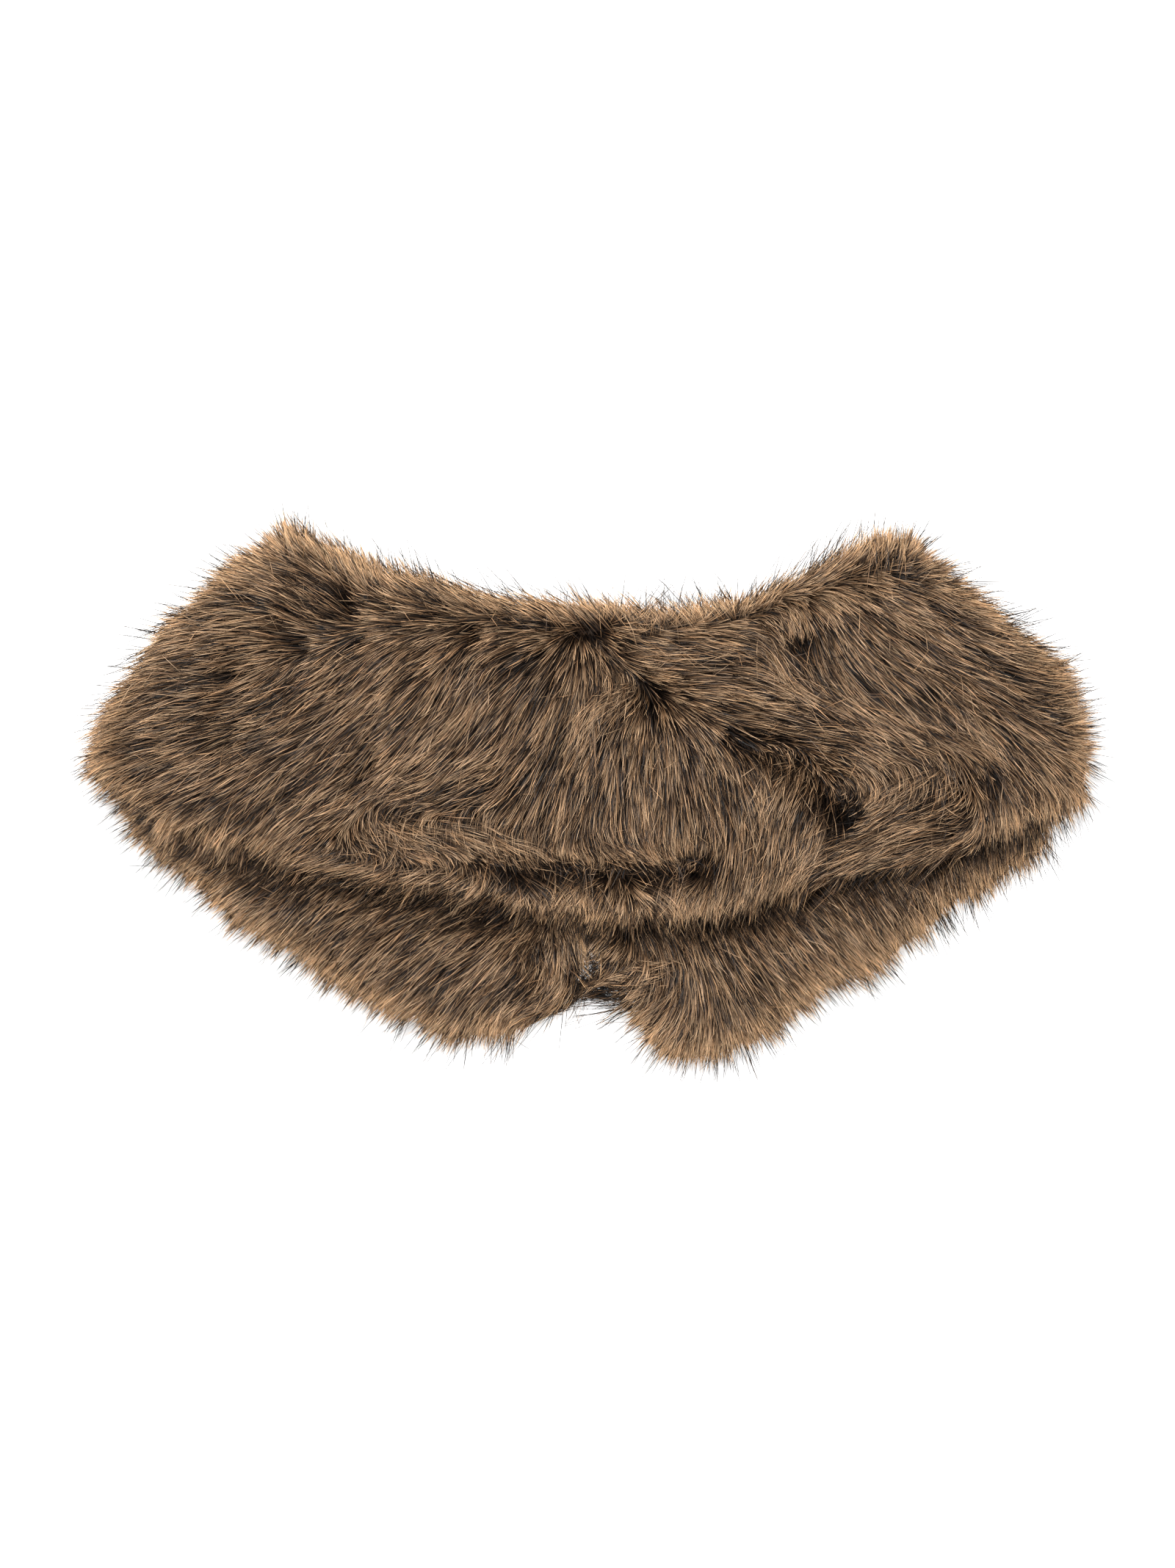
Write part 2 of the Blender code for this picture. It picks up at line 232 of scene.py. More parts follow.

# Where the tips at the outline reach further or less far, from the photograph: a place in
# pixels, how far that holds and how much further they reach, both in millimetres.
Fringe = namedtuple("Fringe", "px_x px_y wide further")
FRINGES = (
    (300, 760, 24, 6.0),
    (375, 695, 14, 6.0),
    (475, 738, 16, 7.0),
    (600, 780, 16, 3.5),
    (810, 808, 30, 10.5),
    (960, 800, 20, 2.0),
    (1075, 770, 12, 1.5),
    (1128, 740, 12, -3.5),
    (1215, 712, 20, 8.5),
    (1412, 850, 15, -6.0),
    (1485, 905, 14, 9.0),
    (1512, 1012, 14, 8.5),
    (1470, 1122, 18, 10.0),
    (1203, 1342, 14, -5.0),
    (893, 1457, 16, -4.5),
    (796, 1362, 14, -34.0),
    (820, 1385, 12, -6.0),
    (740, 1403, 14, -3.0),
    (285, 1265, 14, -7.0),
    (90, 985, 26, 7.5),
    (112, 936, 10, 4.0),
    (345, 706, 10, 4.0),
    (530, 768, 12, -2.5),
    (537, 1418, 10, 4.0),
    (1080, 1405, 14, 3.0),
    (168, 875, 15, -5.5),
    (230, 798, 10, 2.0),
)

# One growth of hairs: how many grow on a square millimetre, in how many straight bits each is
# drawn, the length seen from above, how wide it is, how light it is and how much that varies, how
# deep it starts and how high its tip ends. The dark share of the hairs is darker by the dark shade.
GROWTH_FIELDS = "density bits run width shade shade_spread depth lift dark_share"
Growth = namedtuple("Growth", GROWTH_FIELDS, defaults=(0.0, 0.0, 0.0))
# The underfur's low shade is partly its own darker brown and partly painted shade for where it lies under
# the guard hair.
UNDERFUR = Growth(0.66, 2, 21 * MM, 0.60 * MM, 0.16, 0.08, 12 * MM, -2.6 * MM, 0.3)
GUARD_HAIR = Growth(0.58, 3, 34 * MM, 0.42 * MM, 0.565, 0.21, 11 * MM, 0.8 * MM, 0.41)
RUN_SPREAD = 0.20
LEAST_RUN_SHARE = 0.45
MOST_RUN_SHARE = 1.6
LIFT_SPREAD = 0.7 * MM
DARK_SHADE = -0.46
# Some hairs are lighter: partly cream hairs, partly painted glints.
CREAM_AND_GLINT_SHARE = 0.15
CREAM_AND_GLINT_SHADE = 0.30
HAIR_TURN = 0.07
HAIR_BEND = 0.08
HAIR_STIFF = 1.8
WILD_SHARE = 0.05
WILD_TURN = 0.50
WILD_LIFT = 1 * MM
BIT_CROWDING = 0.85
PULL_CURVE = 1.2
ROOT_CURVE = 2.3
CROWN_BEND = 0.75
LEAST_WIDTH = 0.75
WIDTH_SPREAD = 0.5
TAPER = 0.35
MOST_ROLL = 0.9

# The locks that the hairs gather in, from large to small: how wide a lock is, how far its tips
# draw together across and along, how much a lock turns, rises, bulges and brightens of its own,
# and how far its tips stand out past the others at the outline. A lock's hairs are up to a tenth
# longer or shorter, and those in its middle bulge more. Its middle is painted lighter and its edge
# darker: painted shade between the locks.
Lock = namedtuple("Lock", "cell across along turn lift crown shade reach")
LOCKS = (
    Lock(19 * MM, 0.18, 0.15, 0.22, 2.5 * MM, 1.0 * MM, 0.10, 7 * MM),
    Lock(7 * MM, 0.48, 0.25, 0.24, 4.0 * MM, 2.4 * MM, 0.38, 6 * MM),
    Lock(2.3 * MM, 0.76, 0.20, 0.14, 2.4 * MM, 0.7 * MM, 0.76, 2 * MM),
)
MEDIUM_LOCK = 1
LOCK_RADIUS = 0.6
LOCK_RUN = 0.2
LOCK_CROWN_MIDDLE = 0.6
LOCK_PAINTED_SHADE_MIDDLE = 0.5
LOCK_PAINTED_SHADE_ACROSS = 0.4

# At a parting more hairs grow, and they are shorter and lighter. A hair ends where it would cross
# into a hollow that is this much deeper. Over a hollow the hairs get painted shade, darker by the
# hollow's painted shade for each hollow unit of depth, and over a ridge they get painted light.
PARTING_FULL = 4.0
PARTING_CROWD = 3.0
PARTING_SHORTER = 0.5
PARTING_SHADE = 0.12
HOLLOW_STOP = 2.5 * MM
HOLLOW_LOOKS = 6
LEAST_HOLLOW_SHARE = 0.35
HOLLOW_PAINTED_SHADE = -0.18
HOLLOW_TURN = 0.45
HOLLOW_SEEN_AT = 0.4
HOLLOW_UNIT = 5 * MM
HOLLOW_RANGE = (-5 * MM, 8 * MM)

# At the outline the tips end further and further out, each millimetre fewer, and many get a
# painted glow: lighter, warmer colour that stands in for the light that comes through them. The
# painted glow is less over other fur. Between the fronts they go on and get no painted glow, and
# where a front's outline lies under the back's they stay shorter. Stray hairs reach further out.
# They are thin and dark, and many come from a few of the locks.
KEPT_AT_EDGE = 0.8
EDGE_START = -7.8 * MM
EDGE_FADE = 3.7 * MM
EDGE_FULL = 14 * MM
PAINTED_GLOW_WIDTH = 10 * MM
PAINTED_GLOW_LOST_ON_FUR = 0.75
UNDERFUR_PLAIN = 0.25
GUARD_HAIR_PLAIN = 0.55
NEIGHBOUR_NEAR = 9 * MM
NEIGHBOUR_REACH = 16 * MM
SLIT_WIDTH = 26 * MM
SLIT_DEPTH = 60 * MM
SHOWN_UNDER_HEM = 22 * MM
COVER_FADE = 8 * MM
COVER_SINK = 2 * MM
UNDER_RIM_NEAR = 12 * MM
UNDER_RIM_SHORTER = 3 * MM
STRAY_SHARE = 0.03
STRAY_LOCK_FROM = 0.28
STRAY_LOCK_SHARE = 0.09
STRAY_REACH = (5 * MM, 27 * MM)
STRAY_RUN = 1.4
STRAY_ROOM = (26 * MM, 17.5 * MM)
STRAY_WIDTH = 0.66
STRAY_SHADE = (0.03, 0.34)

# The hairs of the sides grow in a ring just inside the outline, at heights between these shares of
# the solid, and hang down to between these shares of where they start.
EDGE_FUR_PER_MM = 12
EDGE_RING = (-12 * MM, -7 * MM)
EDGE_COMB_WEIGHT = 1.2
EDGE_SCATTER = 0.2
LEAST_DIRECTION = 0.3
LEAST_ACROSS = 0.35
LEAST_EDGE_RUN = 4 * MM
EDGE_START_SHARES = (0.08, 0.8)
EDGE_END_SHARES = (0.25, 0.95)
EDGE_PULL = 0.3
EDGE_DROP_CURVE = 1.5
EDGE_ARCH = 1.5 * MM
# The side hairs are painted lighter than the underfur: painted light for the light that comes through them.
EDGE_SHADE_WITH_PAINTED_LIGHT = 0.60
EDGE_SHADE_SPREAD = 0.12
EDGE_LOCK_SHADE = 0.2

# A hair's shade is one of these steps. Past the plain ones come those of the painted glow.
SHADE_STEPS = 128
PLAIN_SHADES = 0.8
LIGHTEST = 0.999

# The pile under the fronts, pressed flat by what the wrap lies on.
PRESSED = Growth(0.25, 2, 24 * MM, 0.80 * MM, 0.48, 0.14)
PRESSED_HEIGHTS = (0.6 * MM, 2.4 * MM)
PRESSED_TURN = 0.2
PRESSED_MOST_RUN_SHARE = 1.3
PRESSED_FROM_RIM = 14 * MM
PRESSED_TIP_FROM_RIM = 4 * MM

SHELL_PILE = 11 * MM
SHELL_UNDER = 3 * MM
SHELL_INSET = 9 * MM
SHELL_INSET_WITHIN = 26 * MM
SHELL_INSET_ROUNDS = 4
SHELL_NEAR_NEIGHBOUR = 12 * MM
SHELL_ABOVE_SOLID = 2 * MM
SHELL_LEAST_HEIGHT = 5 * MM
SHELL_WALL = 1.6 * MM
SHELL_SMOOTHING = 8
SHELL_SMOOTH_WITHIN = 40 * MM
WELD = 0.01 * MM

rng = np.random.default_rng(4)


def smooth_step(value):
    value = np.clip(value, 0.0, 1.0)
    return value * value * (3 - 2 * value)


def photo_place(px_x, px_y):
    """The place in the frame that a pixel of the photograph shows."""
    return (px_x - ORIGIN_PX_X) * PIXEL, (ORIGIN_PX_Y - px_y) * PIXEL


def hashed(i, j, seed):
    """A number from 0 to 1 for each cell, always the same."""
    n = (i.astype(np.int64) * 73856093) ^ (j.astype(np.int64) * 19349663) ^ (seed * 83492791)
    n = ((n ^ (n >> 13)) * 1274126177) & 0xFFFFFFFF
    return ((n ^ (n >> 16)) & 0xFFFFFF) / float(0xFFFFFF)


def blurred(values, rounds):
    for _ in range(rounds):
        padded = np.pad(values, 1, mode="edge")
        values = (padded[:-2, 1:-1] + padded[2:, 1:-1] + padded[1:-1, :-2] + padded[1:-1, 2:]) / 4
    return values


class SolidMap:
    """A solid seen from above: its top, its underside, the distance to its outline, which is below
    0 inside, how deep its hollows are, and where its pile points and parts. Past the outline the
    top droops towards the floor."""

    def __init__(self, node, combs, reliefs):
        low, high = cad_box
        self.x0, self.y0 = low[0] - MAP_MARGIN, low[1] - MAP_MARGIN
        columns = int((high[0] - low[0] + 2 * MAP_MARGIN) / MAP_STEP) + 2
        rows = int((high[1] - low[1] + 2 * MAP_MARGIN) / MAP_STEP) + 2
        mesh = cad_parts[node].data
        tree = BVHTree.FromPolygons([v.co for v in mesh.vertices], [p.vertices for p in mesh.polygons])
        top = np.full((rows, columns), np.nan)
        under = np.full((rows, columns), np.nan)
        for row in range(rows):
            for column in range(columns):
                x, y = self.x0 + column * MAP_STEP, self.y0 + row * MAP_STEP
                hit = tree.ray_cast(Vector((x, y, 1)), Vector((0, 0, -1)))[0]
                if hit is not None:
                    top[row, column] = hit.z
                    under[row, column] = tree.ray_cast(Vector((x, y, -1)), Vector((0, 0, 1)))[0].z
        inside = ~np.isnan(top)
        around = np.pad(inside, 1)
        edge = inside & ~(around[:-2, 1:-1] & around[2:, 1:-1] & around[1:-1, :-2] & around[1:-1, 2:])
        edge_row, edge_column = np.nonzero(edge)
        grid_row, grid_column = np.mgrid[0:rows, 0:columns]
        nearest = np.empty((rows, columns), int)
        for row in range(rows):
            apart = (edge_row - row)[None, :] ** 2 + (edge_column[None, :] - grid_column[row][:, None]) ** 2
            nearest[row] = apart.argmin(axis=1)
        near_row, near_column = edge_row[nearest], edge_column[nearest]
        away = np.hypot(near_row - grid_row, near_column - grid_column) * MAP_STEP
        self.outside = blurred(np.where(inside, -away - MAP_STEP / 2, away - MAP_STEP / 2), OUTLINE_BLUR)
        drooped = top[near_row, near_column] - DROOP * away
        self.top = blurred(np.where(inside, np.nan_to_num(top), np.maximum(drooped, LEAST_TOP)), TOP_BLUR)
        self.under = np.where(inside, np.nan_to_num(under), under[near_row, near_column])
        self.even_top = blurred(self.top, EVEN_BLUR)
        within = smooth_step(-self.outside / RIM_WIDTH)
        self.hollow = HOLLOW_SHARE * (blurred(self.top, WIDE_BLUR) - self.top) * within
        at_x = self.x0 + grid_column * MAP_STEP
        at_y = self.y0 + grid_row * MAP_STEP
        for relief in map(Relief._make, reliefs):
            middle_x, middle_y = photo_place(relief.px_x, relief.px_y)
            c, s = math.cos(math.radians(relief.angle)), math.sin(math.radians(relief.angle))
            along = ((at_x - middle_x) * c + (at_y - middle_y) * s) / (relief.long * PIXEL)
            across = ((at_y - middle_y) * c - (at_x - middle_x) * s) / (relief.wide * PIXEL)
            sunk = relief.depth * MM * np.exp(-(along**2 + across**2))
            self.top -= np.where(inside, RELIEF_SHARE * sunk, 0)
            self.hollow += sunk
        self.normal_y, self.normal_x = np.gradient(self.outside, MAP_STEP)
        self.comb_x, self.comb_y = comb_direction(combs, at_x, at_y)
        across_x = np.gradient(self.comb_x, MAP_STEP, axis=1)
        across_y = np.gradient(self.comb_y, MAP_STEP, axis=0)
        spreading = blurred(across_x + across_y, PARTING_BLUR)
        self.parting = np.clip(spreading * GUARD_HAIR.run / PARTING_FULL, 0, 1)
        self.inside = inside
        self.rows, self.columns = rows, columns

    def read(self, values, x, y):
        """A map's value at places in the frame, smoothly between its cells."""
        column = np.clip((x - self.x0) / MAP_STEP, 0, self.columns - 1.001)
        row = np.clip((y - self.y0) / MAP_STEP, 0, self.rows - 1.001)
        c, r = column.astype(int), row.astype(int)
        f, g = column - c, row - r
        low = values[r, c] * (1 - f) + values[r, c + 1] * f
        high = values[r + 1, c] * (1 - f) + values[r + 1, c + 1] * f
        return low * (1 - g) + high * g

    def direction(self, values_x, values_y, x, y):
        way_x, way_y = self.read(values_x, x, y), self.read(values_y, x, y)
        size = np.maximum(np.hypot(way_x, way_y), 1e-6)
        return way_x / size, way_y / size

    def outward(self, x, y):
        return self.direction(self.normal_x, self.normal_y, x, y)

    def combed(self, x, y):
        return self.direction(self.comb_x, self.comb_y, x, y)


def comb_direction(combs, x, y):
    """The way that the pile points, from the listed combs near each hair."""
    total_x = np.zeros_like(x)
    total_y = np.zeros_like(x)
    for comb in map(Comb._make, combs):
        at_x, at_y = photo_place(comb.px_x, comb.px_y)
        apart = ((x - at_x) ** 2 + (y - at_y) ** 2) / (comb.reach * MM) ** 2
        weight = np.exp(-apart) + COMB_FAR_WEIGHT / (1 + apart) ** 2
        total_x += weight * math.cos(math.radians(comb.angle))
        total_y += weight * math.sin(math.radians(comb.angle))
    size = np.maximum(np.hypot(total_x, total_y), 1e-9)
    return total_x / size, total_y / size


def nearest_lock(x, y, cell, seed):
    """The middle of the lock that each hair belongs to, two numbers from 0 to 1 for the lock, and
    how far out in it the hair grows."""
    column, row = np.floor(x / cell).astype(int), np.floor(y / cell).astype(int)
    best = np.full(x.shape, np.inf)
    lock_x, lock_y = np.zeros_like(x), np.zeros_like(x)
    first, second = np.zeros_like(x), np.zeros_like(x)
    for i in (-1, 0, 1):
        for j in (-1, 0, 1):
            c, r = column + i, row + j
            at_x = (c + hashed(c, r, seed)) * cell
            at_y = (r + hashed(c, r, seed + 1)) * cell
            apart = (x - at_x) ** 2 + (y - at_y) ** 2
            closer = apart < best
            best = np.where(closer, apart, best)
            lock_x, lock_y = np.where(closer, at_x, lock_x), np.where(closer, at_y, lock_y)
            first = np.where(closer, hashed(c, r, seed + 2), first)
            second = np.where(closer, hashed(c, r, seed + 3), second)
    return lock_x, lock_y, first - 0.5, second - 0.5, np.sqrt(best) / (LOCK_RADIUS * cell)


def lock_seed(number):
    return 10 * number + 3


# Hairs of one growth: their points from root to tip, how wide they are at each, their shades and
# in how many bits they are drawn.
Hairs = namedtuple("Hairs", "points widths shades bits")


def roots_inside(solid, density, keep=None):
    """Random places on a solid's plan, so many for each square millimetre, and more at a parting."""
    rows, columns = np.nonzero(solid.inside if keep is None else solid.inside & keep)
    count = int(len(rows) * density * (MAP_STEP / MM) ** 2)
    crowd = 1 + PARTING_CROWD * solid.parting[rows, columns]
    chosen = rng.choice(len(rows), count, p=crowd / crowd.sum())
    x = solid.x0 + (columns[chosen] + rng.random(count) - 0.5) * MAP_STEP
    y = solid.y0 + (rows[chosen] + rng.random(count) - 0.5) * MAP_STEP
    return x, y


def share_to_hollow(solid, x, y, run):
    """The share of each hair's run that it takes before it crosses into a deeper hollow."""
    own = solid.read(solid.hollow, x, y)
    share = np.ones_like(x)
    step = run / HOLLOW_LOOKS
    for look in range(1, HOLLOW_LOOKS + 1):
        way_x, way_y = solid.combed(x, y)
        x, y = x + step * way_x, y + step * way_y
        stops = (solid.read(solid.hollow, x, y) - own > HOLLOW_STOP) & (share == 1)
        share = np.where(stops, (look - 0.5) / HOLLOW_LOOKS, share)
    return np.maximum(share, LEAST_HOLLOW_SHARE)


def edge_allowance(count):
    """How far past the outline each tip may end: most end short of it, and a few reach out."""
    return EDGE_START + np.minimum(rng.exponential(EDGE_FADE, count), EDGE_FULL)


def fringe_reach(x, y):
    """How much further or less far the tips reach at places along the outline."""
    fringe = np.zeros_like(x)
    for place in map(Fringe._make, FRINGES):
        at_x, at_y = photo_place(place.px_x, place.px_y)
        fringe += place.further * MM * np.exp(-((x - at_x) ** 2 + (y - at_y) ** 2) / (place.wide * MM) ** 2)
    return fringe


def hidden_rim(cover, neighbour, x, y):
    """How much shorter the tips stay where a solid's outline lies under or close to its cover's,
    away from its neighbour."""
    hidden = smooth_step(1 - cover.read(cover.outside, x, y) / UNDER_RIM_NEAR)
    return UNDER_RIM_SHORTER * hidden * smooth_step(neighbour.read(neighbour.outside, x, y) / SLIT_WIDTH)


def painted_glow_left(below, x, y):
    """The share of the painted glow that is left at places that may lie over other fur."""
    left = np.ones(len(x))
    for solid in below:
        over = smooth_step(-solid.read(solid.outside, x, y) / PAINTED_GLOW_WIDTH)
        left *= 1 - PAINTED_GLOW_LOST_ON_FUR * over
    return left


def tip_shades(shade, plain_share, glow, is_stray):
    """Shades for hairs at the outline: strays are dark, and some of the others get painted glow."""
    count = len(shade)
    shade = np.clip(shade, 0, LIGHTEST) * PLAIN_SHADES
    glows = rng.random(count) < (1 - plain_share) * glow
    shade = np.where(glows, PLAIN_SHADES + (1 - PLAIN_SHADES) * rng.random(count), shade)
    return np.where(is_stray, rng.uniform(*STRAY_SHADE, count), shade)


def stray_hairs(second, count):
    """Which hairs are strays: a few everywhere and many in a few locks."""
    share = np.where(second > STRAY_LOCK_FROM, STRAY_LOCK_SHARE, STRAY_SHARE)
    return rng.random(count) < share


def kept_in_room(along_x, along_y):
    """Paths made shorter where they would leave the room that hairs have round the whole wrap."""
    share = np.ones(len(along_x))
    for path, low, high, room in zip((along_x, along_y), *cad_box, STRAY_ROOM):
        drawn = path[:, -1] - path[:, 0]
        most = np.where(drawn > 0, high + room - path[:, 0], low - room - path[:, 0])
        past = np.abs(drawn) > np.abs(most)
        share = np.where(past, np.minimum(share, most / np.where(past, drawn, 1)), share)
    root_x, root_y, share = along_x[:, :1], along_y[:, :1], share[:, None]
    return root_x + share * (along_x - root_x), root_y + share * (along_y - root_y)


def hair_widths(growth, share, s):
    """How wide each hair is at its points, which lie at s along it."""
    thick = growth.width * (LEAST_WIDTH + WIDTH_SPREAD * rng.random(len(share))) * share
    return thick[:, None] * (1.0 - TAPER * s)


def follow_comb(solid, x, y, run, turn, bend, pull_x, pull_y, shares):
    """The hairs' paths seen from above. Each bit takes the comb's direction halfway along it, and
    the hair's stiffness draws it towards the direction of the bit before."""
    path_x, path_y = [x], [y]
    last_x, last_y = solid.combed(x, y)
    for share, following in zip(shares, shares[1:]):
        step = run * (following - share)
        turned = turn + bend * share
        way_x, way_y = solid.combed(x + 0.5 * step * last_x, y + 0.5 * step * last_y)
        way_x, way_y = way_x + HAIR_STIFF * last_x, way_y + HAIR_STIFF * last_y
        size = np.maximum(np.hypot(way_x, way_y), 0.1)
        way_x, way_y = way_x / size, way_y / size
        last_x, last_y = way_x, way_y
        drawn = following**PULL_CURVE - share**PULL_CURVE
        x = x + step * (way_x * np.cos(turned) - way_y * np.sin(turned)) + drawn * pull_x
        y = y + step * (way_x * np.sin(turned) + way_y * np.cos(turned)) + drawn * pull_y
        path_x.append(x)
        path_y.append(y)
    return np.stack(path_x, axis=1), np.stack(path_y, axis=1)


def grow_pile(solid, growth, x, y, cover=None, neighbour=None, below=()):
    """Hairs that lie along the top of a solid. Under a cover they stay low, over a neighbour they
    go on, and over what lies below their painted glow is less."""
    count = len(x)
    comb_x, comb_y = solid.combed(x, y)
    wild = rng.random(count) < WILD_SHARE
    turn = rng.normal(0, 1, count) * np.where(wild, WILD_TURN, HAIR_TURN)
    bend = rng.normal(0, HAIR_BEND, count)
    parting = solid.read(solid.parting, x, y)
    run = growth.run * np.clip(1 + RUN_SPREAD * rng.normal(0, 1, count), LEAST_RUN_SHARE, MOST_RUN_SHARE)
    run *= 1 - PARTING_SHORTER * parting
    lift = rng.normal(0, LIFT_SPREAD, count) + growth.lift + wild * WILD_LIFT
    crown = np.zeros(count)
    shade = growth.shade + growth.shade_spread * rng.normal(0, 1, count) + PARTING_SHADE * parting
    shade += (rng.random(count) < growth.dark_share) * DARK_SHADE
    # Lighter hairs: partly cream hairs, partly painted glints.
    shade += (rng.random(count) < CREAM_AND_GLINT_SHARE) * CREAM_AND_GLINT_SHADE
    pull_x, pull_y = np.zeros(count), np.zeros(count)
    reach = np.zeros(count)
    for number, lock in enumerate(LOCKS):
        lock_x, lock_y, first, second, apart = nearest_lock(x, y, lock.cell, lock_seed(number))
        away_x, away_y = lock_x - x - pull_x, lock_y - y - pull_y
        along = away_x * comb_x + away_y * comb_y
        across = away_y * comb_x - away_x * comb_y
        pull_x += lock.along * along * comb_x - lock.across * across * comb_y
        pull_y += lock.along * along * comb_y + lock.across * across * comb_x
        turn += first * lock.turn
        lift += second * lock.lift
        crown += (LOCK_CROWN_MIDDLE - apart) * lock.crown
        # The lock's own random tone, plus painted shade: lighter in its middle, darker at its edge.
        shade += second * lock.shade + (LOCK_PAINTED_SHADE_MIDDLE - apart) * LOCK_PAINTED_SHADE_ACROSS * lock.shade
        reach += first * lock.reach
        run *= 1 + first * LOCK_RUN
        if number == MEDIUM_LOCK:
            stray = stray_hairs(second, count)
    run *= share_to_hollow(solid, x, y, run)
    seen = HOLLOW_SEEN_AT * run
    hollow = solid.read(solid.hollow, x + seen * comb_x, y + seen * comb_y)
    hollow = np.clip(hollow, *HOLLOW_RANGE) / HOLLOW_UNIT
    # Painted shade over a hollow and painted light over a ridge.
    shade += HOLLOW_PAINTED_SHADE * hollow
    turn += np.maximum(hollow, 0) * rng.normal(0, HOLLOW_TURN, count)
    at_edge = solid.read(solid.outside, x + run * comb_x, y + run * comb_y) > 0
    stray &= at_edge
    pull_x, pull_y = np.where(stray, 0, pull_x), np.where(stray, 0, pull_y)
    run = np.where(stray, run * STRAY_RUN, run)
    shares = np.linspace(0, 1, growth.bits + 1) ** BIT_CROWDING
    along_x, along_y = follow_comb(solid, x, y, run, turn, bend, pull_x, pull_y, shares)
    tip_x, tip_y = along_x[:, -1], along_y[:, -1]
    allowed = np.where(stray, rng.uniform(*STRAY_REACH, count), edge_allowance(count) + reach)
    allowed += fringe_reach(tip_x, tip_y)
    outside = solid.read(solid.outside, tip_x, tip_y)
    between = 0
    if neighbour is not None:
        apart = neighbour.read(neighbour.outside, tip_x, tip_y)
        between = smooth_step(1 - apart / NEIGHBOUR_NEAR)
        outside = np.minimum(outside, apart)
        allowed = allowed + between * NEIGHBOUR_REACH
    if cover is not None:
        allowed = allowed - hidden_rim(cover, neighbour, tip_x, tip_y)
    normal_x, normal_y = solid.outward(tip_x, tip_y)
    back = np.maximum(outside - allowed, 0)
    along_x = along_x - (back * normal_x)[:, None]
    along_y = along_y - (back * normal_y)[:, None]
    along_x, along_y = kept_in_room(along_x, along_y)
    outside = outside - back
    stray &= outside > 0
    plain_share = UNDERFUR_PLAIN if growth is UNDERFUR else GUARD_HAIR_PLAIN
    # Painted glow near the outline: none between the fronts, and less over other fur.
    glow = smooth_step(1 + outside / PAINTED_GLOW_WIDTH) * (1 - between) * painted_glow_left(below, tip_x, tip_y)
    shade = tip_shades(shade, plain_share, glow, stray)
    if cover is not None:
        covered = smooth_step(-cover.read(cover.outside, along_x[:, 0], along_y[:, 0]) / COVER_FADE)
        lift = lift * (1 - covered) - COVER_SINK * covered
    s = shares[None, :]
    surface = solid.read(solid.top, along_x, along_y)
    rise = lift[:, None] * s + crown[:, None] * np.sin(math.pi * s * CROWN_BEND)
    z = np.maximum(surface - growth.depth * (1 - s) ** ROOT_CURVE + rise, FLOOR_CLEARANCE)
    points = np.stack((along_x, along_y, z), axis=2)
    widths = hair_widths(growth, np.where(stray, STRAY_WIDTH, 1), s)
    keep = (back <= 0) | (rng.random(count) < KEPT_AT_EDGE)
    return Hairs(points[keep], widths[keep], shade[keep], growth.bits)


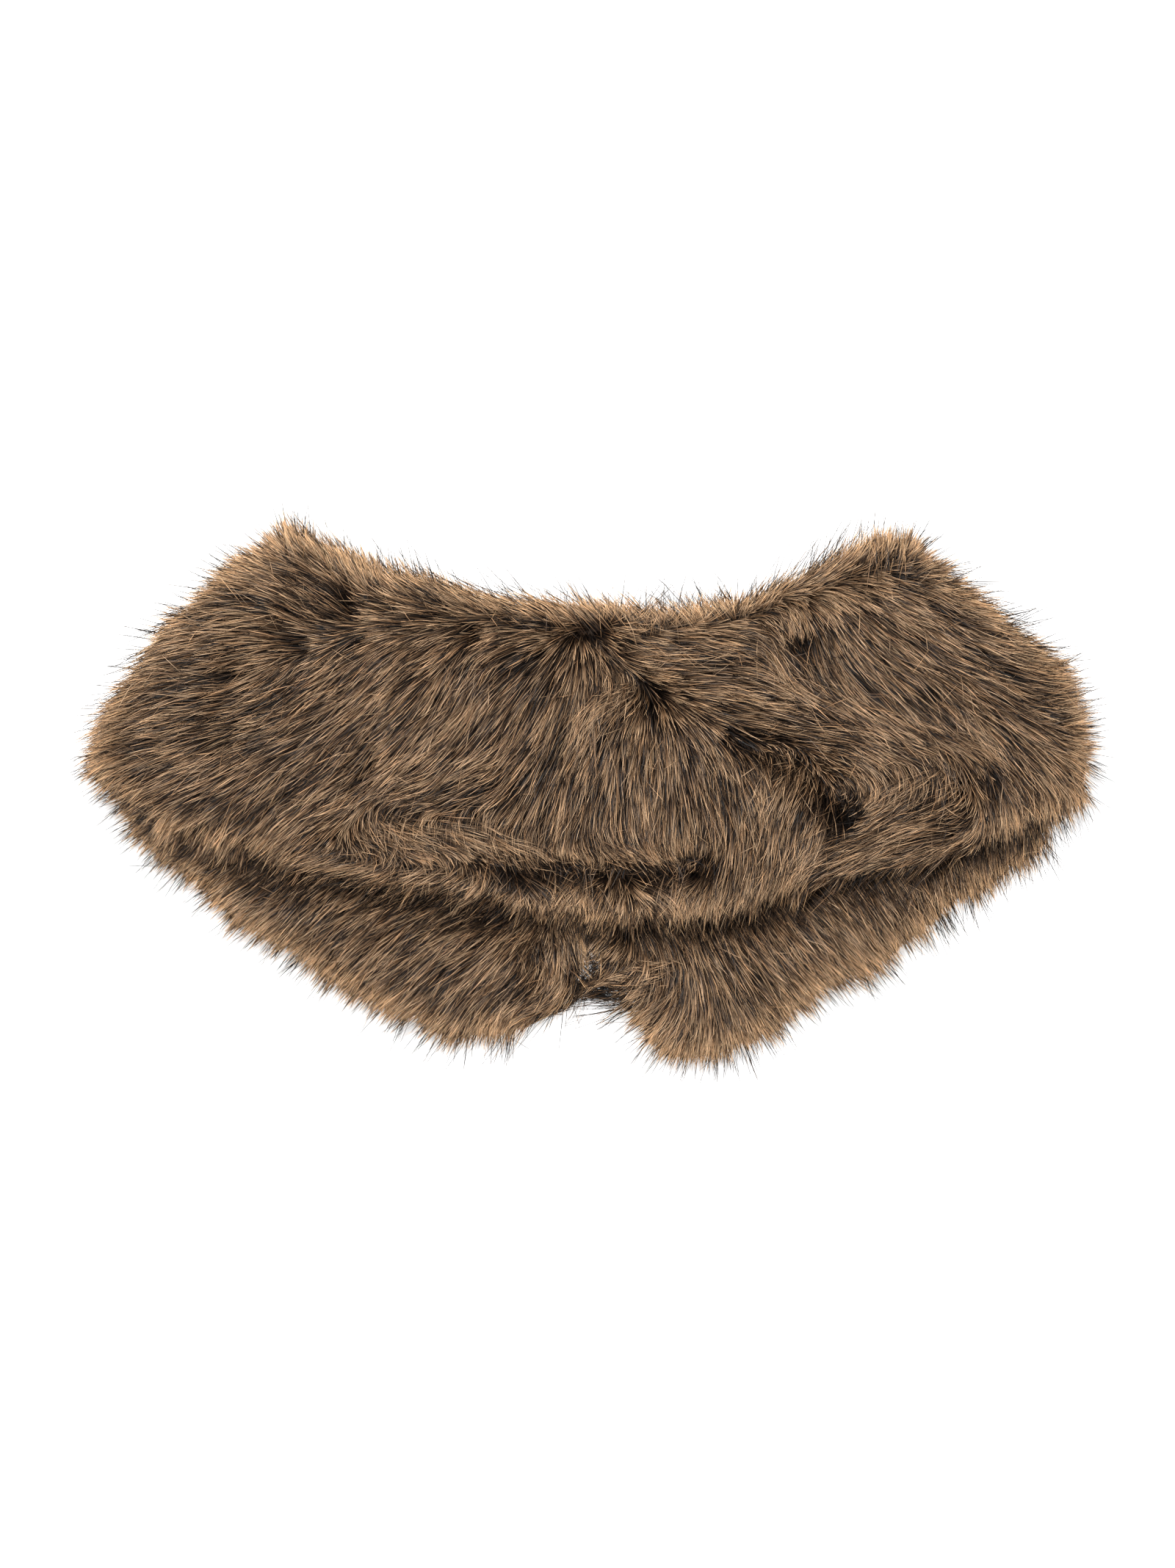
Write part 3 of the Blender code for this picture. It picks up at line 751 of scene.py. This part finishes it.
def grow_edge(solid, keep=None, cover=None, neighbour=None, below=()):
    """Hairs that stand out from the sides of a solid, from its underside up, and hang over."""
    inner, outer = EDGE_RING
    ring = (solid.outside > inner) & (solid.outside < outer)
    if keep is not None:
        ring &= keep
    rows, columns = np.nonzero(ring)
    ring_width = round((outer - inner) / MM)
    count = int(len(rows) * (MAP_STEP / MM) ** 2 / ring_width * EDGE_FUR_PER_MM)
    chosen = rng.integers(0, len(rows), count)
    x = solid.x0 + (columns[chosen] + rng.random(count) - 0.5) * MAP_STEP
    y = solid.y0 + (rows[chosen] + rng.random(count) - 0.5) * MAP_STEP
    normal_x, normal_y = solid.outward(x, y)
    comb_x, comb_y = solid.combed(x, y)
    dir_x = normal_x + EDGE_COMB_WEIGHT * comb_x + rng.normal(0, EDGE_SCATTER, count)
    dir_y = normal_y + EDGE_COMB_WEIGHT * comb_y + rng.normal(0, EDGE_SCATTER, count)
    size = np.maximum(np.hypot(dir_x, dir_y), LEAST_DIRECTION)
    dir_x, dir_y = dir_x / size, dir_y / size
    across = np.maximum(dir_x * normal_x + dir_y * normal_y, LEAST_ACROSS)
    wide_lock, medium_lock = LOCKS[0], LOCKS[MEDIUM_LOCK]
    lock_x, lock_y, first, second, _ = nearest_lock(x, y, medium_lock.cell, lock_seed(MEDIUM_LOCK))
    wide_first = nearest_lock(x, y, wide_lock.cell, lock_seed(0))[2]
    reach = edge_allowance(count) + first * medium_lock.reach + wide_first * wide_lock.reach
    stray = stray_hairs(second, count)
    reach = np.where(stray, rng.uniform(*STRAY_REACH, count), reach) + fringe_reach(x, y)
    if cover is not None:
        reach = reach - hidden_rim(cover, neighbour, x, y)
    run = np.maximum(reach - solid.read(solid.outside, x, y), LEAST_EDGE_RUN) / across
    low, high = solid.read(solid.under, x, y), solid.read(solid.top, x, y)
    start = low + (high - low) * rng.uniform(*EDGE_START_SHARES, count)
    end = low + (start - low) * rng.uniform(*EDGE_END_SHARES, count)
    s = np.linspace(0, 1, UNDERFUR.bits + 1)[None, :]
    pull = np.where(stray, 0, EDGE_PULL)
    along_x = x[:, None] + s * (run * dir_x + pull * (lock_x - x))[:, None]
    along_y = y[:, None] + s * (run * dir_y + pull * (lock_y - y))[:, None]
    along_x, along_y = kept_in_room(along_x, along_y)
    z = start[:, None] + s**EDGE_DROP_CURVE * (end - start)[:, None] + EDGE_ARCH * np.sin(math.pi * s)
    z = np.maximum(z, FLOOR_CLEARANCE)
    points = np.stack((along_x, along_y, z), axis=2)
    widths = hair_widths(UNDERFUR, np.where(stray, STRAY_WIDTH, 1), s)
    # Lighter than the underfur, painted light, plus each medium lock's own tone.
    shade = EDGE_SHADE_WITH_PAINTED_LIGHT + EDGE_SHADE_SPREAD * rng.normal(0, 1, count) + second * EDGE_LOCK_SHADE
    shade = tip_shades(shade, UNDERFUR_PLAIN, painted_glow_left(below, x, y), stray)
    return Hairs(points, widths, shade, UNDERFUR.bits)


def grow_pressed(solid):
    """Hairs that lie flat under a solid."""
    x, y = roots_inside(solid, PRESSED.density, solid.outside < -PRESSED_FROM_RIM)
    count = len(x)
    turn = rng.normal(0, PRESSED_TURN, count)
    longer = 1 + RUN_SPREAD * rng.normal(0, 1, count)
    run = PRESSED.run * np.clip(longer, LEAST_RUN_SHARE, PRESSED_MOST_RUN_SHARE)
    nothing = np.zeros(count)
    shares = np.linspace(0, 1, PRESSED.bits + 1)
    along_x, along_y = follow_comb(solid, x, y, run, turn, nothing, nothing, nothing, shares)
    lock = LOCKS[MEDIUM_LOCK]
    second = nearest_lock(x, y, lock.cell, lock_seed(MEDIUM_LOCK))[3]
    tips_outside = solid.read(solid.outside, along_x[:, -1], along_y[:, -1])
    back = np.maximum(tips_outside + PRESSED_TIP_FROM_RIM, 0)
    normal_x, normal_y = solid.outward(along_x[:, -1], along_y[:, -1])
    along_x = along_x - (back * normal_x)[:, None]
    along_y = along_y - (back * normal_y)[:, None]
    low, high = PRESSED_HEIGHTS
    height = high + (low - high) * shares[None, :] * rng.uniform(0.5, 1, count)[:, None]
    points = np.stack((along_x, along_y, height), axis=2)
    widths = hair_widths(PRESSED, np.ones(count), shares[None, :])
    shade = PRESSED.shade + PRESSED.shade_spread * rng.normal(0, 1, count) + second * lock.shade
    return Hairs(points, widths, np.clip(shade, 0, LIGHTEST) * PLAIN_SHADES, PRESSED.bits)


def hair_mesh(name, growths):
    """One mesh of flat tapering hairs. Its map puts a hair's shade across and its length up."""
    spots, face_corners, face_sizes, maps = [], [], [], []
    first = 0
    for hairs in growths:
        points, widths, bits = hairs.points, hairs.widths, hairs.bits
        count = len(points)
        if count == 0:
            continue
        heading = np.diff(points, axis=1)
        heading = np.concatenate((heading, heading[:, -1:]), axis=1)
        heading /= np.maximum(np.linalg.norm(heading, axis=2, keepdims=True), 1e-9)
        side = np.stack((-heading[..., 1], heading[..., 0], np.zeros(heading.shape[:2])), axis=2)
        side /= np.maximum(np.linalg.norm(side, axis=2, keepdims=True), 1e-9)
        normal = np.cross(heading, side)
        roll = rng.uniform(-MOST_ROLL, MOST_ROLL, count)[:, None, None]
        side = side * np.cos(roll) + normal * np.sin(roll)
        half = 0.5 * widths[:, :, None] * side
        left, right = points - half, points + half
        body = np.stack((left[:, :bits], right[:, :bits]), axis=2).reshape(count, 2 * bits, 3)
        spots.append(np.concatenate((body, points[:, bits:]), axis=1).reshape(-1, 3))
        start = first + np.arange(count)[:, None] * (2 * bits + 1)
        quads = [start + np.array([2 * k, 2 * k + 1, 2 * k + 3, 2 * k + 2]) for k in range(bits - 1)]
        last = start + np.array([2 * bits - 2, 2 * bits - 1, 2 * bits])
        face_corners.append(np.concatenate((*quads, last), axis=1).ravel())
        face_sizes.append(np.tile([4] * (bits - 1) + [3], count))
        step = np.floor(np.clip(hairs.shades, 0, LIGHTEST) * SHADE_STEPS)
        left_u, right_u = (step + 0.25) / SHADE_STEPS, (step + 0.75) / SHADE_STEPS
        tip_u = (step + 0.5) / SHADE_STEPS
        v = np.linspace(0.01, 0.99, bits + 1)
        corner_u, corner_v = [], []
        for k in range(bits - 1):
            corner_u += [left_u, right_u, right_u, left_u]
            corner_v += [v[k], v[k], v[k + 1], v[k + 1]]
        corner_u += [left_u, right_u, tip_u]
        corner_v += [v[bits - 1], v[bits - 1], v[bits]]
        u = np.stack(corner_u, axis=1)
        maps.append(np.stack((u, np.broadcast_to(np.array(corner_v), u.shape)), axis=2).reshape(-1, 2))
        first += count * (2 * bits + 1)
    spots, maps = np.concatenate(spots), np.concatenate(maps)
    corners, sizes = np.concatenate(face_corners), np.concatenate(face_sizes)
    mesh = bpy.data.meshes.new(name)
    mesh.vertices.add(len(spots))
    mesh.vertices.foreach_set("co", spots.astype(np.float32).ravel())
    mesh.loops.add(len(corners))
    mesh.loops.foreach_set("vertex_index", corners.astype(np.int32))
    mesh.polygons.add(len(sizes))
    mesh.polygons.foreach_set("loop_start", (np.cumsum(sizes) - sizes).astype(np.int32))
    uv = mesh.uv_layers.new(name="OFBake")
    uv.data.foreach_set("uv", maps.astype(np.float32).ravel())
    mesh.update(calc_edges=True)
    mesh.validate()
    mesh.shade_smooth()
    obj = bpy.data.objects.new(name, mesh)
    bpy.context.scene.collection.objects.link(obj)
    return obj


def ramp_node(tree, stops):
    ramp = tree.nodes.new("ShaderNodeValToRGB")
    elements = ramp.color_ramp.elements
    while len(elements) < len(stops):
        elements.new(0.5)
    for element, (position, colour) in zip(elements, stops):
        element.position = position
        element.color = (*colour, 1.0)
    return ramp


ROOT_TO_TIP = (
    (0.0, (0.010, 0.005, 0.003)),
    (0.35, (0.032, 0.017, 0.009)),
    (0.65, (0.165, 0.100, 0.056)),
    (1.0, (0.620, 0.398, 0.232)),
)
SHADE_RAMP = (
    (0.0, (0.03, 0.03, 0.034)),
    (0.20, (0.13, 0.12, 0.12)),
    (0.40, (0.66, 0.64, 0.63)),
    (0.60, (1.70, 1.68, 1.65)),
    (0.78, (2.90, 2.98, 3.00)),
    # From here on the painted glow's colours: light that comes through the hairs, painted on.
    (0.80, (1.55, 1.56, 1.50)),
    (1.0, (3.10, 3.25, 3.20)),
)


def fur_material():
    """Dark at the root and tan at the tip, times the shade of the hair, which holds the hair's own tone
    and also painted shade, painted glints and painted glow. The colour leans a little towards grey or
    orange from hair to hair."""
    material = bpy.data.materials.new("fur")
    material.use_nodes = True
    tree = material.node_tree
    shader = tree.nodes["Principled BSDF"]
    place = tree.nodes.new("ShaderNodeUVMap")
    place.uv_map = "OFBake"
    parts = tree.nodes.new("ShaderNodeSeparateXYZ")
    tree.links.new(place.outputs["UV"], parts.inputs["Vector"])
    along = ramp_node(tree, ROOT_TO_TIP)
    tree.links.new(parts.outputs["Y"], along.inputs["Fac"])
    shade = ramp_node(tree, SHADE_RAMP)
    tree.links.new(parts.outputs["X"], shade.inputs["Fac"])
    steps = tree.nodes.new("ShaderNodeMath")
    steps.operation = "MULTIPLY"
    steps.inputs[1].default_value = SHADE_STEPS
    tree.links.new(parts.outputs["X"], steps.inputs[0])
    whole = tree.nodes.new("ShaderNodeMath")
    whole.operation = "FLOOR"
    tree.links.new(steps.outputs["Value"], whole.inputs[0])
    noise = tree.nodes.new("ShaderNodeTexWhiteNoise")
    noise.noise_dimensions = "1D"
    tree.links.new(whole.outputs["Value"], noise.inputs["W"])
    lean = ramp_node(tree, ((0.0, (1.10, 0.98, 0.86)), (0.5, (1.0, 1.0, 1.0)), (1.0, (0.94, 1.0, 1.07))))
    tree.links.new(noise.outputs["Value"], lean.inputs["Fac"])
    first = multiply_node(tree, along.outputs["Color"], shade.outputs["Color"])
    second = multiply_node(tree, first, lean.outputs["Color"])
    tree.links.new(second, shader.inputs["Base Color"])
    shader.inputs["Roughness"].default_value = 0.45
    shader.inputs["Specular IOR Level"].default_value = 0.24
    return material


def multiply_node(tree, first, second):
    mix = tree.nodes.new("ShaderNodeMix")
    mix.data_type = "RGBA"
    mix.blend_type = "MULTIPLY"
    mix.clamp_result = False
    mix.inputs["Factor"].default_value = 1.0
    tree.links.new(first, mix.inputs["A"])
    tree.links.new(second, mix.inputs["B"])
    return mix.outputs["Result"]


def backing_material():
    """The knitted ground that the pile is tied into, under short dense fluff."""
    material = bpy.data.materials.new("backing")
    material.use_nodes = True
    tree = material.node_tree
    shader = tree.nodes["Principled BSDF"]
    place = tree.nodes.new("ShaderNodeTexCoord")
    fluff = tree.nodes.new("ShaderNodeTexNoise")
    fluff.inputs["Scale"].default_value = 420.0
    fluff.inputs["Detail"].default_value = 6.0
    tree.links.new(place.outputs["Object"], fluff.inputs["Vector"])
    colour = ramp_node(tree, ((0.3, (0.018, 0.011, 0.007)), (0.7, (0.075, 0.047, 0.030))))
    tree.links.new(fluff.outputs["Fac"], colour.inputs["Fac"])
    tree.links.new(colour.outputs["Color"], shader.inputs["Base Color"])
    bump = tree.nodes.new("ShaderNodeBump")
    bump.inputs["Strength"].default_value = 0.8
    bump.inputs["Distance"].default_value = 0.8 * MM
    tree.links.new(fluff.outputs["Fac"], bump.inputs["Height"])
    tree.links.new(bump.outputs["Normal"], shader.inputs["Normal"])
    shader.inputs["Roughness"].default_value = 0.95
    return material


def smooth_rim(mesh, near_rim):
    """Evens out the points near the outline, which the inset can crowd together."""
    cloth = bmesh.new()
    cloth.from_mesh(mesh)
    chosen = [vert for vert, near in zip(cloth.verts, near_rim) if near]
    for _ in range(SHELL_SMOOTHING):
        bmesh.ops.smooth_vert(
            cloth, verts=chosen, factor=0.5, use_axis_x=True, use_axis_y=True, use_axis_z=True
        )
    cloth.to_mesh(mesh)
    cloth.free()


def cloth_shell(node, solid, neighbour=None):
    """The cloth of a stretch: its solid's form without the locks, drawn in by the pile's depth, and
    by less where a neighbour lies against it."""
    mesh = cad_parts[node].data.copy()
    mesh.name = node + "_cloth"
    welded = bmesh.new()
    welded.from_mesh(mesh)
    bmesh.ops.remove_doubles(welded, verts=welded.verts, dist=WELD)
    welded.to_mesh(mesh)
    welded.free()
    co = np.empty(len(mesh.vertices) * 3)
    mesh.vertices.foreach_get("co", co)
    co = co.reshape(-1, 3)
    x, y = co[:, 0], co[:, 1]
    outside = solid.read(solid.outside, x, y)
    inset = SHELL_INSET * smooth_step(1 + outside / SHELL_INSET_WITHIN)
    if neighbour is not None:
        inset *= 1 - smooth_step(1 - neighbour.read(neighbour.outside, x, y) / SHELL_NEAR_NEIGHBOUR)
    wanted = outside - inset
    in_x, in_y = x.copy(), y.copy()
    for _ in range(SHELL_INSET_ROUNDS):
        normal_x, normal_y = solid.outward(in_x, in_y)
        lack = np.maximum(solid.read(solid.outside, in_x, in_y) - wanted, 0)
        in_x, in_y = in_x - lack * normal_x, in_y - lack * normal_y
    low, high = solid.read(solid.under, x, y), solid.read(solid.top, x, y)
    even = np.minimum(solid.read(solid.even_top, x, y), high + SHELL_ABOVE_SOLID)
    share = np.clip((co[:, 2] - low) / np.maximum(high - low, 1 * MM), 0, 1)
    cloth_height = np.maximum(even - low - SHELL_PILE - SHELL_UNDER, SHELL_LEAST_HEIGHT)
    co[:, 0], co[:, 1] = in_x, in_y
    co[:, 2] = low + SHELL_UNDER + share * cloth_height
    mesh.vertices.foreach_set("co", co.ravel())
    smooth_rim(mesh, outside > -SHELL_SMOOTH_WITHIN)
    mesh.shade_smooth()
    obj = bpy.data.objects.new(node + "_cloth", mesh)
    bpy.context.scene.collection.objects.link(obj)
    wall = obj.modifiers.new("wall", "SOLIDIFY")
    wall.thickness = SHELL_WALL
    wall.offset = -1
    return obj


def split_by_x(hairs, where):
    left = hairs.points[:, 0, 0] < where
    return (
        Hairs(hairs.points[left], hairs.widths[left], hairs.shades[left], hairs.bits),
        Hairs(hairs.points[~left], hairs.widths[~left], hairs.shades[~left], hairs.bits),
    )


def finish_piece(obj, material):
    obj.data.materials.clear()
    obj.data.materials.append(material)
    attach(obj, "root")
    return obj


def make_wrap():
    fur, backing = fur_material(), backing_material()
    back = SolidMap("back_panel", BACK_COMBS, BACK_RELIEFS)
    fronts = {name: SolidMap(name, FRONT_COMBS, FRONT_RELIEFS) for name in ("left_front", "right_front")}
    below = tuple(fronts.values())
    back_pieces = []
    for name, growth in (("back_underfur_", UNDERFUR), ("back_guard_hair_", GUARD_HAIR)):
        x, y = roots_inside(back, growth.density)
        for side, hairs in zip(("left", "right"), split_by_x(grow_pile(back, growth, x, y, below=below), 0)):
            back_pieces.append(hair_mesh(name + side, [hairs]))
    back_pieces.append(hair_mesh("back_edge_fur", [grow_edge(back, below=below)]))
    for piece in back_pieces:
        finish_piece(piece, fur)
    cloth = finish_piece(cloth_shell("back_panel", back), backing)
    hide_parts("back_panel")
    for name, neighbour in (("left_front", "right_front"), ("right_front", "left_front")):
        front = fronts[name]
        slit = (fronts[neighbour].outside < SLIT_WIDTH) & (back.outside > -SLIT_DEPTH)
        shows = (back.outside > -SHOWN_UNDER_HEM) | slit
        growths = []
        for growth in (UNDERFUR, GUARD_HAIR):
            x, y = roots_inside(front, growth.density, shows)
            growths.append(grow_pile(front, growth, x, y, cover=back, neighbour=fronts[neighbour]))
        growths.append(grow_edge(front, shows, back, fronts[neighbour]))
        growths.append(grow_pressed(front))
        piece = finish_piece(hair_mesh(name + "_fur", growths), fur)
        cloth = finish_piece(cloth_shell(name, front, fronts[neighbour]), backing)
        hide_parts(name)


def make_studio():
    """The photograph's view from straight above, a pale floor and soft light all round."""
    middle_x, middle_y = photo_place(PHOTO_WIDTH / 2, PHOTO_HEIGHT / 2)
    camera = bpy.data.objects.new("camera", bpy.data.cameras.new("camera"))
    camera.data.lens = CAMERA_LENS
    camera.data.sensor_width = CAMERA_SENSOR
    away = PHOTO_HEIGHT * PIXEL * CAMERA_LENS / CAMERA_SENSOR
    camera.location = (middle_x, middle_y, SHARP_PLANE + away)
    bpy.context.scene.collection.objects.link(camera)
    bpy.context.scene.camera = camera
    bpy.ops.mesh.primitive_plane_add(size=30)
    floor = bpy.context.object
    floor.name = "floor"
    material = bpy.data.materials.new("floor")
    material.use_nodes = True
    shader = material.node_tree.nodes["Principled BSDF"]
    shader.inputs["Base Color"].default_value = (0.93, 0.93, 0.93, 1)
    shader.inputs["Roughness"].default_value = 0.9
    shader.inputs["Specular IOR Level"].default_value = 0.1
    shader.inputs["Emission Color"].default_value = (1, 1, 1, 1)
    shader.inputs["Emission Strength"].default_value = 0.5
    floor.data.materials.append(material)
    world = bpy.data.worlds.new("studio")
    world.use_nodes = True
    world.node_tree.nodes["Background"].inputs["Color"].default_value = (1, 1, 1, 1)
    world.node_tree.nodes["Background"].inputs["Strength"].default_value = 0.45
    bpy.context.scene.world = world
    for name, place, size, power in (
        ("key", (-0.35, 0.9, 1.9), 1.2, 50.0),
        ("fill", (0.9, -0.9, 1.9), 1.6, 12.0),
    ):
        light = bpy.data.objects.new(name, bpy.data.lights.new(name, "AREA"))
        light.data.size = size
        light.data.energy = power
        light.location = place
        light.rotation_euler = (-Vector(place)).to_track_quat("-Z", "Y").to_euler()
        bpy.context.scene.collection.objects.link(light)
    bpy.context.scene.view_settings.view_transform = "Standard"


make_wrap()
make_studio()
